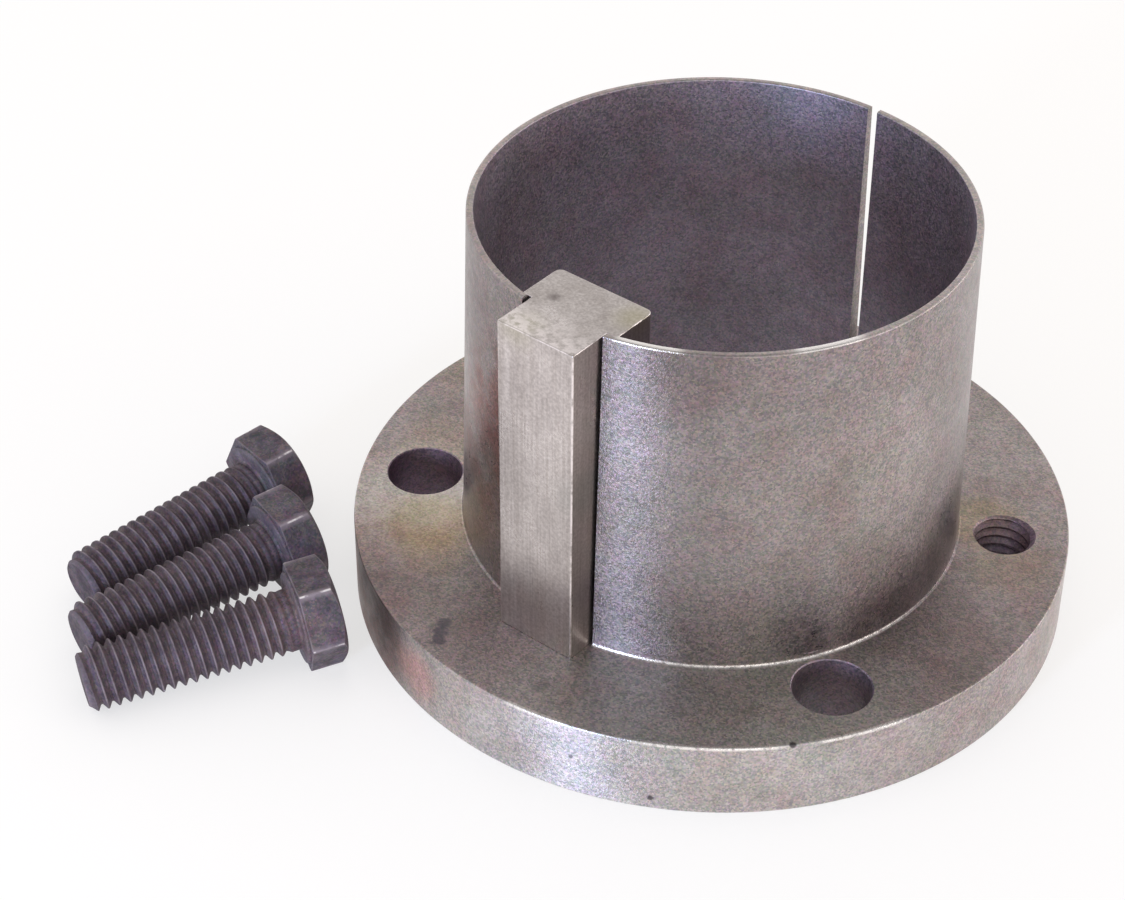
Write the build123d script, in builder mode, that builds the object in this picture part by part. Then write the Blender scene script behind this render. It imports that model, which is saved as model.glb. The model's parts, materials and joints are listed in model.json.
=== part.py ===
from build123d import *
from math import acos, atan2, cos, degrees, hypot, radians, sin, sqrt, tan
import os

os.makedirs("parts", exist_ok=True)

# A flanged taper bushing for a 2-11/16 inch shaft, with its stepped key in place and its three
# cap screws lying beside it.  Millimetres and degrees.  The bore's axis is Z, the flange's bottom
# face is z = 0 and the barrel stands up from the flange.  The key is on the -Y side.

# ---------------------------------------------------------------- driving dimensions
# Bushing body: one flange and one thin tapered barrel round one bore
BORE_RADIUS = 34.13             # 2-11/16 inch bore
FLANGE_THICKNESS = 12.0
BARREL_HEIGHT = 51.5            # above the flange, so the bushing is 2-1/2 inch long
BARREL_WALL = 1.05              # wall at the small end
BARREL_TAPER_RISE = 1.2         # how much the wall grows down to the flange
ROOT_FILLET = 0.7               # where the barrel meets the flange
FLANGE_EDGE_BREAK = 0.45        # on both rims of the flange
BARREL_EDGE_BREAK = 0.3         # outside edge of the small end
BORE_EDGE_BREAK = 0.25          # both mouths of the bore

# Slit that lets the barrel close on its shaft
SLIT_WIDTH = 1.6
SLIT_ANGLE = 88.5

# Stepped key: an outer block for the hub, a wider inner block for the shaft
KEY_ANGLE = -90.0
KEY_OUTER_WIDTH = 12.7          # 1/2 inch
KEY_INNER_WIDTH = 15.875        # 5/8 inch
KEY_PROUD = 3.65                # outer face beyond the barrel's large end
KEY_REACH = 7.6                 # inner face from the shoulders, towards the shaft
KEY_DROP = 0.4                  # top face below the barrel's end
KEY_SIDE_GAP = 0.4              # each side of the outer block in the barrel's slot
KEY_SHOULDER_GAP = 0.08         # shoulders to the bore's wall
KEY_EDGE_RADIUS = 1.0           # long edges of the inner face
KEY_OUTER_EDGE_BREAK = 0.25     # long edges of the outer face

# Cap screws, 3/8-16 by 1-1/4 inch, with plain shanks at the thread's major diameter
SCREW_DIAMETER = 9.525
SCREW_LENGTH = 31.0
THREAD_DEPTH = 0.79             # the tapped holes are left at their drill size
TIP_CHAMFER = 1.1
HEAD_ACROSS_FLATS = 14.2
HEAD_HEIGHT = 5.95
WASHER_FACE_THICKNESS = 0.4
WASHER_FACE_INSET = 0.35        # inside the flats
HEAD_CHAMFER_INSET = 0.35       # flat circle of the head's top, inside the flats
HEAD_CHAMFER_ANGLE = 30.0

# Holes in the flange
SCREW_HOLE_GAP = 0.79           # clearance holes beyond the screw, on the radius
HOLE_TO_BARREL = 0.93           # clearance holes to the barrel's large end
HOLE_TO_RIM = 3.97              # clearance holes to the flange's rim
CLEARANCE_HOLE_COUNT = 3
TAPPED_HOLE_ANGLES = [30.0, 150.0]

# Where the loose screws lie: the first from the flange, each next one beside its neighbour, fanned
# out so that the heads are side by side and the tips close together
FIRST_SCREW_ANGLE = 212.1
FIRST_SCREW_HEADING = 259.9
FIRST_SCREW_TO_RIM = 16.5
SCREW_SIDE_GAP = 0.3            # between a head and what it lies beside
SECOND_SCREW_NOSE_GAP = 0.1     # its head lies just in front of the first one's
SECOND_SCREW_TIP_GAP = 0.7      # between the neighbour's tip and the shank beside it
THIRD_SCREW_STAGGER = 4.55
THIRD_SCREW_SIDE_GAP = 0.1
THIRD_SCREW_TIP_GAP = 0.1

# ---------------------------------------------------------------- derived sizes
barrel_top_z = FLANGE_THICKNESS + BARREL_HEIGHT
barrel_small_radius = BORE_RADIUS + BARREL_WALL
barrel_large_radius = barrel_small_radius + BARREL_TAPER_RISE
screw_radius = SCREW_DIAMETER / 2
clearance_hole_radius = screw_radius + SCREW_HOLE_GAP
tapped_hole_radius = screw_radius - THREAD_DEPTH
bolt_circle_radius = barrel_large_radius + HOLE_TO_BARREL + clearance_hole_radius
flange_radius = bolt_circle_radius + clearance_hole_radius + HOLE_TO_RIM

key_slot_width = KEY_OUTER_WIDTH + 2 * KEY_SIDE_GAP
# The flat shoulders touch the round bore at their corners
key_shoulder_radius = sqrt((BORE_RADIUS - KEY_SHOULDER_GAP) ** 2 - (KEY_INNER_WIDTH / 2) ** 2)
key_outer_radius = barrel_large_radius + KEY_PROUD
key_inner_radius = key_shoulder_radius - KEY_REACH
key_length = BARREL_HEIGHT - KEY_DROP

head_flat_radius = HEAD_ACROSS_FLATS / 2
head_corner_radius = head_flat_radius / cos(radians(30))


# ---------------------------------------------------------------- bushing body
with BuildPart() as bushing_body:
    with BuildSketch(Plane.XZ) as wall_profile:
        with BuildLine():
            Polyline(
                (BORE_RADIUS, 0),
                (flange_radius, 0),
                (flange_radius, FLANGE_THICKNESS),
                (barrel_large_radius, FLANGE_THICKNESS),
                (barrel_small_radius, barrel_top_z),
                (BORE_RADIUS, barrel_top_z),
                close=True,
            )
        make_face()
        corners = wall_profile.vertices()
        rim_corners = corners.group_by(Axis.X)[-1]
        bore_corners = corners.group_by(Axis.X)[0]
        barrel_end_corner = corners.group_by(Axis.Y)[-1].sort_by(Axis.X)[-1]
        root_corner = corners.group_by(Axis.Y)[1].sort_by(Axis.X)[0]
        chamfer(rim_corners, FLANGE_EDGE_BREAK)
        chamfer(bore_corners, BORE_EDGE_BREAK)
        chamfer(barrel_end_corner, BARREL_EDGE_BREAK)
        fillet(root_corner, ROOT_FILLET)
    revolve(axis=Axis.Z)

    # Slot for the key and the slit on the other side, both through the barrel's wall only
    barrel_foot = Plane.XY.offset(FLANGE_THICKNESS)
    for opening_angle, opening_width in ((KEY_ANGLE, key_slot_width), (SLIT_ANGLE, SLIT_WIDTH)):
        with BuildSketch(barrel_foot.rotated((0, 0, opening_angle))):
            Rectangle(flange_radius, opening_width, align=(Align.MIN, Align.CENTER))
        extrude(amount=BARREL_HEIGHT, mode=Mode.SUBTRACT)

    # Clearance holes for the cap screws, and tapped holes between them to jack the bushing loose
    with BuildSketch():
        with PolarLocations(bolt_circle_radius, CLEARANCE_HOLE_COUNT, start_angle=90):
            Circle(clearance_hole_radius)
        for tapped_angle in TAPPED_HOLE_ANGLES:
            with PolarLocations(bolt_circle_radius, 1, start_angle=tapped_angle):
                Circle(tapped_hole_radius)
    extrude(amount=FLANGE_THICKNESS, mode=Mode.SUBTRACT)

bushing_body.part.label = "bushing_body"
export_step(bushing_body.part, "parts/bushing_body.step")


# ---------------------------------------------------------------- stepped key
with BuildPart() as stepped_key:
    with BuildSketch(barrel_foot.rotated((0, 0, KEY_ANGLE))) as key_section:
        with Locations((key_shoulder_radius, 0)):
            Rectangle(KEY_REACH, KEY_INNER_WIDTH, align=(Align.MAX, Align.CENTER))
            Rectangle(
                key_outer_radius - key_shoulder_radius,
                KEY_OUTER_WIDTH,
                align=(Align.MIN, Align.CENTER),
            )
        section_corners = key_section.vertices()
        fillet(section_corners.group_by(Axis.X)[0], KEY_EDGE_RADIUS)
        chamfer(section_corners.group_by(Axis.X)[-1], KEY_OUTER_EDGE_BREAK)
    extrude(amount=key_length)

stepped_key.part.label = "stepped_key"
export_step(stepped_key.part, "parts/stepped_key.step")


# ---------------------------------------------------------------- loose cap screws
# A screw lies on one flat of its head and on its tip, so its axis dips towards the tip
screw_dip = atan2(head_flat_radius - screw_radius, SCREW_LENGTH - TIP_CHAMFER)


def lying_plane(seat_x, seat_y, heading):
    """Plane of a lying screw's bearing face: z towards the tip, x square to a flat of the head."""
    turn = radians(heading)
    towards_tip = Vector(cos(turn) * cos(screw_dip), sin(turn) * cos(screw_dip), -sin(screw_dip))
    flat_normal = Vector(cos(turn) * sin(screw_dip), sin(turn) * sin(screw_dip), cos(screw_dip))
    # The lower edge of the bearing side of the head is on the floor
    lift = head_flat_radius * cos(screw_dip) + WASHER_FACE_THICKNESS * -sin(screw_dip)
    return Plane((seat_x, seat_y, lift), x_dir=flat_normal, z_dir=towards_tip)


def lean_between(across, along, tip_gap):
    """Angle that brings a screw in from its seat to pass its neighbour's tip at the given gap."""
    return degrees(atan2(across - SCREW_DIAMETER - tip_gap, SCREW_LENGTH - along))


def lean_past_chamfer(across, along, gap):
    """The same, but measured square to the shank from the corner of the neighbour's tip chamfer."""
    side, ahead = across - screw_radius, SCREW_LENGTH - TIP_CHAMFER - along
    return degrees(acos((screw_radius + gap) / hypot(side, ahead)) - atan2(ahead, side))


def place_beside(seat, heading, along, across):
    """Seat of the next screw, moved along and across its neighbour."""
    turn = radians(heading)
    return (
        seat[0] + along * cos(turn) - across * sin(turn),
        seat[1] + along * sin(turn) + across * cos(turn),
    )


first_reach = flange_radius + FIRST_SCREW_TO_RIM
first_seat = (
    first_reach * cos(radians(FIRST_SCREW_ANGLE)),
    first_reach * sin(radians(FIRST_SCREW_ANGLE)),
)
# The second head lies against the first one's shank, clear of the first one's bearing face
second_across = head_corner_radius + screw_radius + SCREW_SIDE_GAP
second_lean = lean_between(second_across, HEAD_HEIGHT, SECOND_SCREW_TIP_GAP)
second_nose = head_flat_radius * sin(radians(second_lean)) - WASHER_FACE_THICKNESS
second_along = HEAD_HEIGHT + second_nose + SECOND_SCREW_NOSE_GAP
second_seat = place_beside(first_seat, FIRST_SCREW_HEADING, second_along, second_across)
second_heading = FIRST_SCREW_HEADING - second_lean
# The third head lies corner to corner with the second one.  Its lean takes it clear of the edge of
# the second one's bearing side, so it lies closer, and closer it leans less: worked out in turns
third_across = 2 * head_corner_radius
for _ in range(8):
    third_lean = lean_past_chamfer(third_across, THIRD_SCREW_STAGGER, THIRD_SCREW_TIP_GAP)
    turn_in = radians(third_lean)
    corner_ahead = THIRD_SCREW_STAGGER + WASHER_FACE_THICKNESS - head_corner_radius * sin(turn_in)
    corner_reach = head_corner_radius * (1 + cos(turn_in))
    third_across = corner_reach + THIRD_SCREW_SIDE_GAP - corner_ahead * tan(turn_in)
third_seat = place_beside(second_seat, second_heading, THIRD_SCREW_STAGGER, third_across)
third_heading = second_heading - third_lean

screw_planes = {
    "cap_screw_back": lying_plane(*first_seat, FIRST_SCREW_HEADING),
    "cap_screw_middle": lying_plane(*second_seat, second_heading),
    "cap_screw_front": lying_plane(*third_seat, third_heading),
}

for screw_name, seat_plane in screw_planes.items():
    with BuildPart() as cap_screw:
        # Hexagonal head
        with BuildSketch(seat_plane.offset(-HEAD_HEIGHT)):
            RegularPolygon(head_flat_radius, 6, major_radius=False, rotation=30)
        extrude(amount=HEAD_HEIGHT - WASHER_FACE_THICKNESS)

        # Its corners are turned off to a cone at the top
        chamfer_drop = HEAD_CHAMFER_INSET + head_corner_radius - head_flat_radius
        chamfer_height = chamfer_drop * tan(radians(HEAD_CHAMFER_ANGLE))
        with BuildSketch(Plane(seat_plane.origin, x_dir=seat_plane.x_dir, z_dir=-seat_plane.y_dir)):
            with BuildLine():
                Polyline(
                    (0, -HEAD_HEIGHT),
                    (head_flat_radius - HEAD_CHAMFER_INSET, -HEAD_HEIGHT),
                    (head_corner_radius, chamfer_height - HEAD_HEIGHT),
                    (head_corner_radius, 0),
                    (0, 0),
                    close=True,
                )
            make_face()
        revolve(axis=Axis(seat_plane.origin, seat_plane.z_dir), mode=Mode.INTERSECT)

        # Washer face under the head, then the shank with its chamfered tip
        with BuildSketch(seat_plane.offset(-WASHER_FACE_THICKNESS)):
            Circle(head_flat_radius - WASHER_FACE_INSET)
        extrude(amount=WASHER_FACE_THICKNESS)
        with BuildSketch(seat_plane):
            Circle(screw_radius)
        extrude(amount=SCREW_LENGTH)
        tip_edge = cap_screw.edges().filter_by(GeomType.CIRCLE).sort_by(
            Axis(seat_plane.origin, seat_plane.z_dir)
        )[-1]
        chamfer(tip_edge, TIP_CHAMFER)

    cap_screw.part.label = screw_name
    export_step(cap_screw.part, "parts/" + screw_name + ".step")
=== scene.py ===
"""The looks of a flanged taper bushing, its stepped key and its three loose cap screws.

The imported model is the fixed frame.  Every piece is worked out in metres, in that frame.
"""
import json
import math

import bmesh
import bpy
import numpy as np
from bpy.props import FloatProperty, FloatVectorProperty, IntProperty, PointerProperty
from mathutils import Matrix, Vector


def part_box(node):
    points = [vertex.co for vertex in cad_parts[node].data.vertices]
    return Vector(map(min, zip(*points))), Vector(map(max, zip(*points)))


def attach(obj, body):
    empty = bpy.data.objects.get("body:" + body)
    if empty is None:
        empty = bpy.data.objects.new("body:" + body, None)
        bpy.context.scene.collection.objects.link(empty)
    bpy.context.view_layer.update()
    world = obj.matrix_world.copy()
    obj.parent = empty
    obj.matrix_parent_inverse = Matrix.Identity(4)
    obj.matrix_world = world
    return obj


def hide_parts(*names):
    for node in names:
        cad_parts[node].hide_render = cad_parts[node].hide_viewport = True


bl_info = {
    "name": "Taper Bushing Set",
    "version": (1, 0, 0),
    "blender": (4, 5, 0),
    "location": "3D View > Sidebar > Bushing",
    "description": "Turned taper bushing with its stepped key and cap screws",
    "category": "Add Mesh",
}

MM = 0.001
MERGE_DISTANCE = 1e-6           # closes seams and poles

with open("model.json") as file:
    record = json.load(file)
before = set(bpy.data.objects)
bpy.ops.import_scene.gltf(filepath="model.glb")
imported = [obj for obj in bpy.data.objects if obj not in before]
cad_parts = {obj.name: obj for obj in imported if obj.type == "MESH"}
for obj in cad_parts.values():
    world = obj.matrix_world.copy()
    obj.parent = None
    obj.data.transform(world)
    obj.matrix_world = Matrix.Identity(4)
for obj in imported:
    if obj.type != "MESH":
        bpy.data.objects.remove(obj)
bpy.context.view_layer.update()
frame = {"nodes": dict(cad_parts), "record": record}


def mount(name):
    """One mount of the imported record."""
    return next(m for m in frame["record"]["mounts"] if m["name"] == name)


body_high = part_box("bushing_body")[1]
bolt_dims = mount("bolt_holes")["dims"]
tapped_mounts = [mount("jack_hole_right"), mount("jack_hole_left")]
bolt_circle_radius = bolt_dims["pcd_mm"] / 2 * MM


def bolt_centres():
    """Centres of the clearance holes."""
    turns = [math.radians(90 + 360 * i / bolt_dims["count"]) for i in range(bolt_dims["count"])]
    return [(bolt_circle_radius * math.cos(t), bolt_circle_radius * math.sin(t)) for t in turns]


def linear(hex_colour):
    """An sRGB hex colour as linear red, green and blue."""
    shares = [int(hex_colour[i:i + 2], 16) / 255 for i in (0, 2, 4)]
    return tuple(s / 12.92 if s <= 0.04045 else ((s + 0.055) / 1.055) ** 2.4 for s in shares)


def length(name, default, description):
    """A length in metres that a user can change."""
    return FloatProperty(name=name, description=description, default=default, unit="LENGTH",
                         precision=5, min=0.0)


def angle(name, default_degrees, description):
    """An angle that a user can change."""
    return FloatProperty(name=name, description=description, default=math.radians(default_degrees),
                         unit="ROTATION")


def colour(name, hex_colour, description):
    """A colour that a user can change."""
    return FloatVectorProperty(name=name, description=description, default=linear(hex_colour),
                               subtype="COLOR", size=3, min=0.0, max=1.0)


# ---------------- sizes and colours
class BushingSettings(bpy.types.PropertyGroup):
    flange_radius: length("Flange radius", body_high.x, "Outside radius of the flange")
    height: length("Height", body_high.z, "From the flange's bottom to the barrel's end")
    flange_thickness: length("Flange thickness", 12.0 * MM, "Thickness of the flange")
    bore_radius: length("Bore radius", 34.13 * MM, "Radius of the shaft's bore")
    barrel_wall: length("Barrel wall", 1.05 * MM, "Wall at the barrel's small end")
    taper_rise: length("Taper rise", 1.2 * MM, "Growth of the barrel's radius down to the flange")
    root_fillet: length("Root fillet", 0.42 * MM, "Radius where the barrel meets the flange")
    rim_round: length("Rim round", 0.3 * MM, "Worn round of the flange's rims")
    end_round: length("End round", 0.3 * MM, "Outside round of the barrel's end")
    bore_round: length("Bore round", 0.25 * MM, "Round of the bore's mouths")
    slot_width: length("Key slot", 13.5 * MM, "Width of the slot for the key")
    slit_width: length("Slit", 1.6 * MM, "Width of the sawn slit")
    slit_angle: angle("Slit angle", 88.5, "Where the sawn slit is")
    hole_break: length("Hole break", 0.15 * MM, "Edge break of the clearance holes")
    thread_pitch: length("Thread pitch", 25.4 / 16 * MM, "16 threads to the inch")
    tapped_depth: length("Thread depth", 0.79 * MM, "Depth of the thread in the tapped holes")
    tapped_mouth: length("Tapped mouth", 0.35 * MM, "Countersink of the tapped holes")


class KeySettings(bpy.types.PropertyGroup):
    outer_width: length("Outer width", 12.7 * MM, "Width of the block that the hub takes")
    inner_width: length("Inner width", 15.875 * MM, "Width of the block that the shaft takes")
    reach: length("Reach", 7.6 * MM, "From the shoulders to the inner face")
    outer_round: length("Outer round", 0.25 * MM, "Broken edges of the outer face")
    inner_round: length("Inner round", 1.0 * MM, "Rounded edges of the inner face")
    shoulder_round: length("Shoulder round", 0.2 * MM, "Broken edges of the shoulders")
    end_round: length("End round", 0.18 * MM, "Broken edges of the ends")


class ScrewSettings(bpy.types.PropertyGroup):
    radius: length("Radius", 9.525 / 2 * MM, "Radius over the thread")
    length: length("Length", 31.0 * MM, "Under the head")
    pitch: length("Pitch", 25.4 / 16 * MM, "16 threads to the inch")
    thread_depth: length("Thread depth", 0.86 * MM, "From the crests to the roots")
    tip_chamfer: length("Tip chamfer", 1.1 * MM, "Chamfer at the tip")
    neck: length("Neck", 1.1 * MM, "Plain neck under the head")
    runout: length("Run-out", 2.2 * MM, "Where the thread grows to its full depth")
    flat_radius: length("Head flats", 7.1 * MM, "From the axis to a flat of the head")
    head_height: length("Head height", 5.95 * MM, "Height of the head with its washer face")
    washer_height: length("Washer face", 0.4 * MM, "Height of the washer face")
    top_inset: length("Top inset", 0.35 * MM, "Flat circle of the head, inside the flats")
    top_slope: angle("Top slope", 30.0, "Slope of the head's turned corners")
    corner_round: length("Corner round", 0.35 * MM, "Round of the head's six corners")
    edge_round: length("Edge round", 0.12 * MM, "Round of the head's other edges")
    columns_per_flat: IntProperty(name="Columns", description="Mesh columns across each flat",
                                  default=13, min=3, max=40)


class FinishSettings(bpy.types.PropertyGroup):
    flange_steel: colour("Flange steel", "b7acaa", "Bare faced steel of the flange's top")
    rim_steel: colour("Rim steel", "c7c1c0", "Coarser, lighter turned steel of the flange's side")
    barrel_steel: colour("Barrel steel", "9d9595", "Fine-turned steel of the barrel")
    bore_steel: colour("Bore steel", "aaa1ae", "Bored steel, darker with oil")
    hole_steel: colour("Hole steel", "a090a0", "Drilled and tapped holes, dark with cutting oil")
    olive_stain: colour("Olive stain", "f8efd4", "Film of old oil that has dried on the flange")
    rust_stain: colour("Rust stain", "f2d2cc", "Film of first rust on the rim")
    # Near-white colour of the painted glints on the body's edges and the screw heads' corners, which are
    # also smoother there
    glint_and_polish: colour("Bright edge", "f4eeea", "Steel polished by handling on its edges")
    key_steel: colour("Key steel", "dad2cf", "Ground key stock")
    black_oxide: colour("Black oxide", "6d5d67", "Black oxide of the screws")
    # Painted light: this colour pales the thread's roots to lift the shade in them
    painted_root_light: colour("Deep oxide", "6c6069", "Film of oil down in the thread, paler than its flanks")
    worn_oxide: colour("Worn oxide", "8d8289", "Steel that shows through on the thread's crests")


class StageSettings(bpy.types.PropertyGroup):
    target: FloatVectorProperty(name="Camera target", default=(-34.64 * MM, 7.73 * MM, 0.0), size=3,
                                description="Point of the floor that the camera looks at",
                                unit="LENGTH")
    distance: length("Camera distance", 435.8 * MM, "From the camera to that point")
    azimuth: angle("Camera azimuth", 39.5, "Turn of the camera round the bushing")
    elevation: angle("Camera elevation", 37.506, "Height of the camera above the floor")
    roll: angle("Camera roll", 0.344, "Tilt of the picture")
    lens: FloatProperty(name="Lens", description="Focal length for a 36 mm sensor", default=88.2)
    floor_size: length("Floor", 6.0, "Side of the square floor")
    floor_white: colour("Floor", "fbfafa", "Plain white floor")
    window_light: colour("Window light", "c2d7fd", "Cool light from the front")
    room_light: colour("Room light", "fff8f2", "Warm light from the right")


# ---------------- mesh code
def arc(centre, radius, start, end, steps=4):
    """Points of a circle's arc from one angle to another, in degrees, both ends included."""
    turns = np.radians(np.linspace(start, end, steps + 1))
    return np.column_stack((centre[0] + radius * np.cos(turns), centre[1] + radius * np.sin(turns)))


def grid_quads(rows, columns):
    """Quads of a rows x columns grid of points that are numbered row by row."""
    first = (np.arange(rows - 1)[:, None] * columns + np.arange(columns - 1)).ravel()
    return np.column_stack((first, first + 1, first + columns + 1, first + columns))


def surface_mesh(name, points, attributes=None, capped_at=()):
    """Mesh of a grid of points (rows, columns, xyz), its seams and poles closed by merging.

    Open ends at the heights in capped_at are closed with one flat face each.
    """
    rows, columns = points.shape[:2]
    mesh = bpy.data.meshes.new(name)
    mesh.from_pydata(points.reshape(-1, 3).tolist(), [], grid_quads(rows, columns).tolist())
    for attribute_name, values in (attributes or {}).items():
        attribute = mesh.attributes.new(attribute_name, "FLOAT", "POINT")
        attribute.data.foreach_set("value", values.ravel().astype(np.float32))
    closed = bmesh.new()
    closed.from_mesh(mesh)
    bmesh.ops.remove_doubles(closed, verts=closed.verts, dist=MERGE_DISTANCE)
    bmesh.ops.dissolve_degenerate(closed, edges=closed.edges, dist=MERGE_DISTANCE / 10)
    for end in capped_at:
        rim = [e for e in closed.edges if e.is_boundary and abs(e.verts[0].co.z - end) < MM]
        bmesh.ops.contextual_create(closed, geom=rim)
    bmesh.ops.recalc_face_normals(closed, faces=closed.faces)
    closed.to_mesh(mesh)
    closed.free()
    return mesh


def place(name, mesh):
    """Object of a mesh, at the origin, unturned and unscaled."""
    piece = bpy.data.objects.new(name, mesh)
    bpy.context.scene.collection.objects.link(piece)
    return piece


def smooth(piece, sharp_degrees=35.0):
    """Smooth shading that stays sharp at the real corners and keeps flat faces flat."""
    piece.data.shade_smooth()
    piece.data.set_sharp_from_angle(angle=math.radians(sharp_degrees))
    weighted = piece.modifiers.new("flat_faces_stay_flat", "WEIGHTED_NORMAL")
    weighted.keep_sharp = True
    weighted.weight = 80


def turned(profile, columns, centre=(0.0, 0.0)):
    """Grid of a closed (radius, z) profile turned about a vertical axis through the centre."""
    turns = np.linspace(0, 2 * math.pi, columns + 1)
    profile = np.vstack((profile, profile[:1]))
    radius, height = profile[:, :1], profile[:, 1:]
    return np.stack((centre[0] + radius * np.cos(turns), centre[1] + radius * np.sin(turns),
                     height + 0 * turns), axis=-1)


# One pitch of a 60 degree thread: place along the pitch, and depth below the crest
THREAD_PLACES = np.array([-0.095, -0.05, 0.05, 0.095, 0.40, 0.45, 0.55, 0.60, 0.905])
THREAD_DEPTHS = np.array([0.07, 0.0, 0.0, 0.07, 0.94, 1.0, 1.0, 0.94, 0.07])
KNOTS_PER_PITCH = 8


def thread_rows(turns, pitch, low, high):
    """Heights of a helicoid's grid, and how deep the thread is at each of its points.

    A row follows one point of the thread's section round the axis while it climbs one pitch a
    turn, so crests and roots lie along the rows.  Rows past either end are held at that end.
    """
    count = int(math.ceil((high - low) / pitch)) + 2
    starts = np.arange(-1, count)[:, None] + THREAD_PLACES[None, :KNOTS_PER_PITCH]
    climb = turns[None, :] / (2 * math.pi)
    heights = low + pitch * (starts.reshape(-1, 1) + climb)
    heights = np.clip(heights, low, high)
    phase = (heights - low) / pitch - climb
    phase = (phase - THREAD_PLACES[0]) % 1.0 + THREAD_PLACES[0]
    return heights, np.interp(phase, THREAD_PLACES, THREAD_DEPTHS)


def rings(turns, radii, heights):
    """Points at the given radii and heights round the z axis; each row may be a ring or a value."""
    return np.stack((radii * np.cos(turns), radii * np.sin(turns), heights + 0 * turns), axis=-1)


def cut(piece, cutters):
    """Takes closed cutters out of a piece and deletes them."""
    for cutter in cutters:
        removal = piece.modifiers.new("cut", "BOOLEAN")
        removal.operation = "DIFFERENCE"
        removal.solver = "EXACT"
        removal.object = cutter
    bpy.context.view_layer.update()
    graph = bpy.context.evaluated_depsgraph_get()
    result = bpy.data.meshes.new_from_object(piece.evaluated_get(graph))
    piece.modifiers.clear()
    piece.data = result
    for cutter in cutters:
        bpy.data.objects.remove(cutter)


# ---------------- materials
def add(tree, kind, inputs=None, **settings):
    """Adds a shader node, with its settings, and values or links for its inputs."""
    node = tree.nodes.new("ShaderNode" + kind)
    for setting, value in settings.items():
        setattr(node, setting, value)
    for socket, value in (inputs or {}).items():
        if isinstance(value, bpy.types.NodeSocket):
            tree.links.new(value, node.inputs[socket])
        else:
            node.inputs[socket].default_value = value
    return node


def new_material(name):
    """An empty node material: its tree, its Object coordinates and its surface input."""
    material = bpy.data.materials.new(name)
    material.use_nodes = True
    tree = material.node_tree
    tree.nodes.clear()
    coordinates = add(tree, "TexCoord").outputs["Object"]
    surface = add(tree, "OutputMaterial").inputs["Surface"]
    return material, tree, coordinates, surface


def rgba(value):
    """A colour with full alpha, from sRGB hex or linear red, green and blue; a link stays as it is."""
    if isinstance(value, bpy.types.NodeSocket):
        return value
    return (*(linear(value) if isinstance(value, str) else value), 1.0)


def grain(tree, coordinates, size, low, high, stretch=(1, 1, 1), detail=2.0, seed=0.0):
    """A 0 to 1 mask of noise blotches of the given size in metres, cut between low and high.

    Stretch makes the blotches longer along an axis.
    """
    scale = [1 / (size * s) for s in stretch]
    mapped = add(tree, "Mapping", {"Vector": coordinates, "Scale": scale,
                                   "Location": (seed, seed * 0.7, seed * 1.3)})
    noise = add(tree, "TexNoise", {"Vector": mapped.outputs[0], "Scale": 1.0, "Detail": detail,
                                   "Roughness": 0.6})
    return add(tree, "MapRange", {"Value": noise.outputs["Fac"], "From Min": low,
                                  "From Max": high}).outputs["Result"]


def fade(tree, value, start, end):
    """0 at start to 1 at end, smoothly."""
    return add(tree, "MapRange", {"Value": value, "From Min": start, "From Max": end},
               interpolation_type="SMOOTHSTEP").outputs["Result"]


def between(tree, mask, low, high):
    """A 0 to 1 mask as a value from low to high."""
    return add(tree, "MapRange", {"Value": mask, "To Min": low, "To Max": high}).outputs["Result"]


def both(tree, *masks):
    """Product of masks and numbers."""
    product = masks[0]
    for mask in masks[1:]:
        product = add(tree, "Math", {0: product, 1: mask}, operation="MULTIPLY").outputs[0]
    return product


def either(tree, *masks):
    """The greatest of masks and numbers."""
    greatest = masks[0]
    for mask in masks[1:]:
        greatest = add(tree, "Math", {0: greatest, 1: mask}, operation="MAXIMUM").outputs[0]
    return greatest


def tint(tree, base, layer, *masks, blend="MIX"):
    """Lays one colour over another through the product of masks and strengths."""
    inputs = {0: both(tree, *masks), 6: rgba(base), 7: rgba(layer)}
    return add(tree, "Mix", inputs, data_type="RGBA", blend_type=blend).outputs[2]


def steel_surface(tree, surface, relief, relief_height, inputs):
    """Principled steel with a fine relief, as the material's surface."""
    bump = add(tree, "Bump", {"Height": relief, "Strength": 1.0, "Distance": relief_height})
    steel = add(tree, "BsdfPrincipled", {**inputs, "Normal": bump.outputs[0]})
    tree.links.new(steel.outputs[0], surface)


def gap_to(tree, coordinates, centre):
    """Distance of coordinates from a centre, in metres."""
    return add(tree, "VectorMath", {0: coordinates, 1: centre}, operation="DISTANCE").outputs["Value"]


def near(tree, coordinates, place_mm, radius_mm, edge=0.45):
    """1 at a place of the object, fading to 0 at the given radius, both in millimetres."""
    gap = gap_to(tree, coordinates, [c * MM for c in place_mm])
    return fade(tree, gap, radius_mm * MM, radius_mm * MM * edge)


def on_flange(angle_degrees, radius_mm, z_mm=12.0):
    """A place on the flange, in millimetres, from its angle and its distance from the axis."""
    turn = math.radians(angle_degrees)
    return (radius_mm * math.cos(turn), radius_mm * math.sin(turn), z_mm)


def spotted(tree, coordinates, shade, spots, layer=None, edge=0.45, blend="MIX", through=(),
            place_of=on_flange):
    """Lays a colour over another at spots.

    Each spot is a place, which place_of turns to millimetres, a radius in millimetres, a strength,
    and its own colour where the spots differ in it.
    """
    for spot, spread, strength, *own in spots:
        mask = near(tree, coordinates, place_of(*spot), spread, edge)
        shade = tint(tree, shade, own[0] if own else layer, mask, *through, strength, blend=blend)
    return shade
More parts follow.
